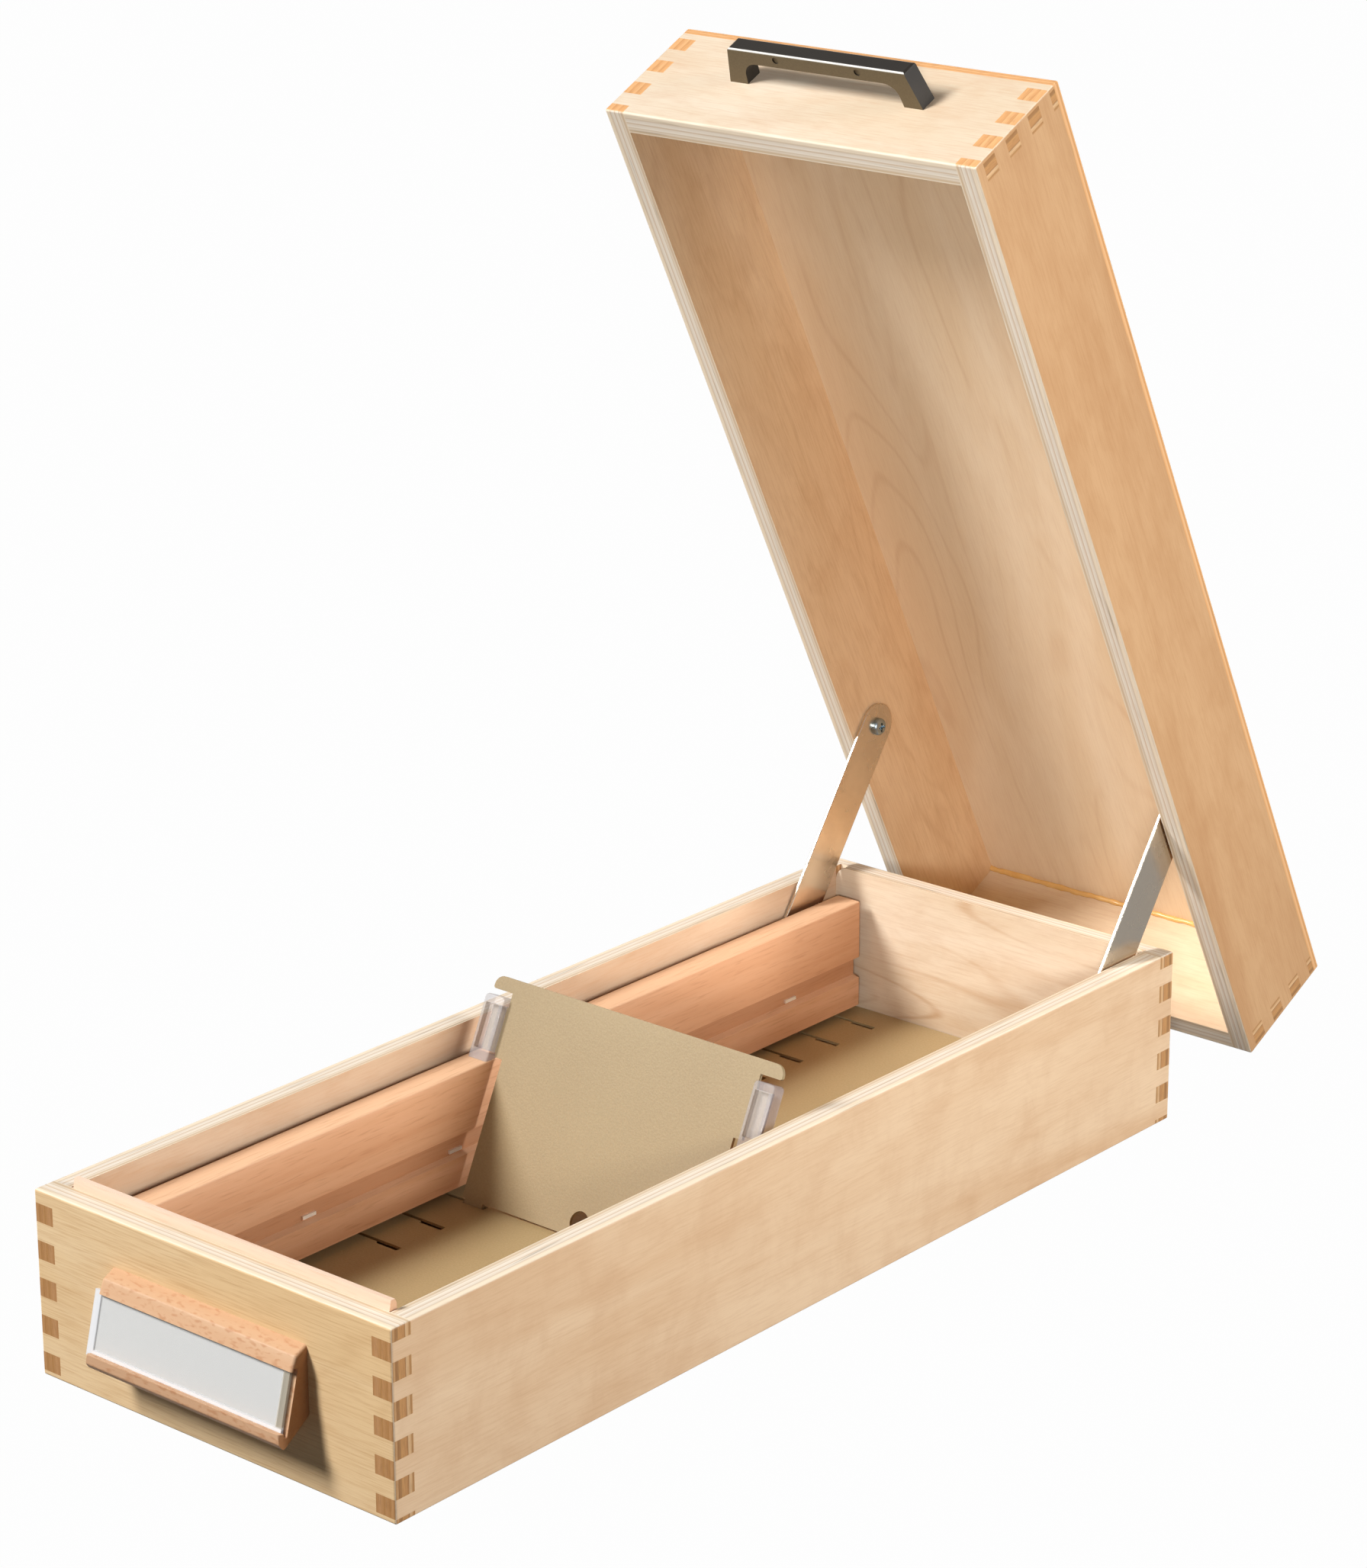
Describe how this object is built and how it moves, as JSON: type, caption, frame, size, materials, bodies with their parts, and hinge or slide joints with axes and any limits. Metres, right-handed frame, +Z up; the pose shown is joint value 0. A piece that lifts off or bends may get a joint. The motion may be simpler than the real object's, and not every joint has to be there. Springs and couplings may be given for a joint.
{
  "type": "wooden index card box",
  "caption": "Long finger-jointed wooden card index box with a deep lid on swinging stays, slotted floor, side rails, leaning support plate, label pull and carry handle.",
  "frame": {"origin": "on the table, under the middle of the base's footprint", "axes": "+X to the right of someone who faces the label pull, +Y from the label pull to the rear, +Z up"},
  "size_m": [0.152, 0.4979, 0.3825],
  "materials": {
    "birch_plywood": "clear satin lacquer on sanded birch plywood",
    "beech": "clear satin lacquer on planed beech",
    "pale_beech": "clear satin lacquer on planed beech",
    "coated_sheet": "satin beige coating on sheet steel",
    "plated_steel": "bright nickel plating",
    "black_plastic": "moulded, half gloss",
    "clear_plastic": "clear moulded",
    "label_paper": "uncoated card, left blank"
  },
  "bodies": {
    "base": {"base_front_wall": "birch_plywood", "base_rear_wall": "birch_plywood", "base_left_wall": "birch_plywood", "base_right_wall": "birch_plywood", "bottom_panel": "birch_plywood", "slotted_floor": "coated_sheet", "left_rail": "beech", "right_rail": "beech", "rail_staples": "plated_steel", "locating_strip": "beech", "label_pull": "pale_beech", "pull_screws": "plated_steel", "stay_base_screws": "plated_steel", "stay_base_washers": "plated_steel"},
    "stays": {"left_stay": "plated_steel", "right_stay": "plated_steel"},
    "lid": {"lid_front_wall": "birch_plywood", "lid_rear_wall": "birch_plywood", "lid_left_wall": "birch_plywood", "lid_right_wall": "birch_plywood", "lid_top_panel": "birch_plywood", "carry_handle": "black_plastic", "handle_screws": "plated_steel", "stay_lid_screws": "plated_steel", "stay_lid_washers": "plated_steel"},
    "plate": {"support_plate": "coated_sheet", "left_plate_clip": "clear_plastic", "right_plate_clip": "clear_plastic"},
    "label": {"label_sleeve": "clear_plastic", "label_card": "label_paper"}
  },
  "joints": [
    {"name": "stay_swing", "type": "hinge", "parent": "base", "child": "stays", "pos_m": [0, 0.1616, 0.04425], "axis": [1, 0, 0], "range_deg": [0, 102.84]},
    {"name": "lid_swing", "type": "hinge", "parent": "stays", "child": "lid", "pos_m": [0, 0.20866, 0.11188], "axis": [1, 0, 0], "range_deg": [-39.55, 0]},
    {"name": "plate_lift", "type": "slide", "parent": "base", "child": "plate", "axis": [0, 0.4305, 0.9026], "range_m": [0, 0.02]},
    {"name": "label_slide", "type": "slide", "parent": "base", "child": "label", "axis": [-1, 0, 0], "range_m": [0, 0.075]}
  ],
  "couplings": [
    {"joint": "lid_swing", "follows": "stay_swing", "ratio": -0.38449}
  ]
}
